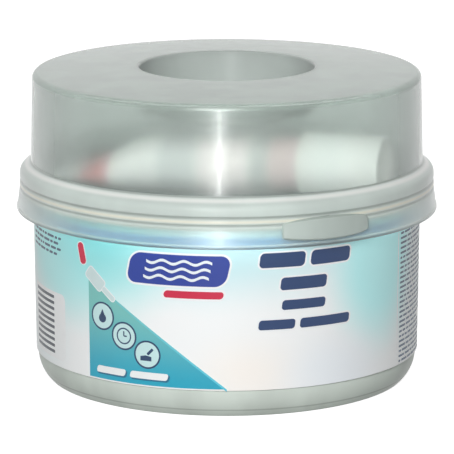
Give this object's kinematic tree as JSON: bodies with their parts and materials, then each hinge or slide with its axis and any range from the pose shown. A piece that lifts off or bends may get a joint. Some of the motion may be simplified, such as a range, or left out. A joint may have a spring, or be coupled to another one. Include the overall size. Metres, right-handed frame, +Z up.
{
  "type": "tub of filling compound",
  "caption": "Round moulded tub of filling compound with a printed wrap, a dished disc, a tube of hardener and a domed see-through snap lid.",
  "frame": {"origin": "middle of the foot ring, on the surface the tub stands on", "axes": "+Z up along the tub's axis, -Y towards the front of the label, +X to the right seen from the front"},
  "size_m": [0.1226, 0.1226, 0.0911],
  "materials": {
    "tub_plastic": "satin moulded polypropylene, grey, slightly milky",
    "label_film": "printed film, pale cyan fading to white",
    "filler_paste": "thick grey-white paste, satin",
    "disc_plastic": "thin moulded disc, satin grey",
    "lid_plastic": "natural see-through polypropylene, satin gloss",
    "sleeve_laminate": "white laminate with one printed band",
    "shoulder_plastic": "white moulded polyethylene",
    "seal_metal": "thin foil",
    "hardener_paste": "red paste",
    "cap_plastic": "smooth white moulded plastic"
  },
  "bodies": {
    "tub": {"tub": "tub_plastic", "label_wrap": "label_film", "filler_compound": "filler_paste"},
    "lid": {"lid": "lid_plastic"},
    "disc": {"sealing_disc": "disc_plastic"},
    "tube": {"hardener_tube_sleeve": "sleeve_laminate", "hardener_tube_shoulder": "shoulder_plastic", "neck_seal_foil": "seal_metal", "hardener_paste": "hardener_paste"},
    "cap": {"hardener_tube_cap": "cap_plastic"}
  },
  "joints": [
    {"name": "lid_lift", "type": "slide", "parent": "tub", "child": "lid", "axis": [0, 0, 1], "range_m": [0, 0.11]},
    {"name": "disc_lift", "type": "slide", "parent": "tub", "child": "disc", "axis": [0, 0, 1], "range_m": [0, 0.033]},
    {"name": "tube_lift", "type": "slide", "parent": "disc", "child": "tube", "axis": [0, 0, 1], "range_m": [0, 0.033]},
    {"name": "cap_turn", "type": "hinge", "parent": "tube", "child": "cap", "pos_m": [0.0222, -0.01839, 0.0656], "axis": [0.9563, -0.2924, 0], "range_deg": [0, 540]}
  ],
  "couplings": [
    {"joint": "disc_lift", "follows": "lid_lift", "ratio": 0.3},
    {"joint": "tube_lift", "follows": "lid_lift", "ratio": 0.3}
  ]
}
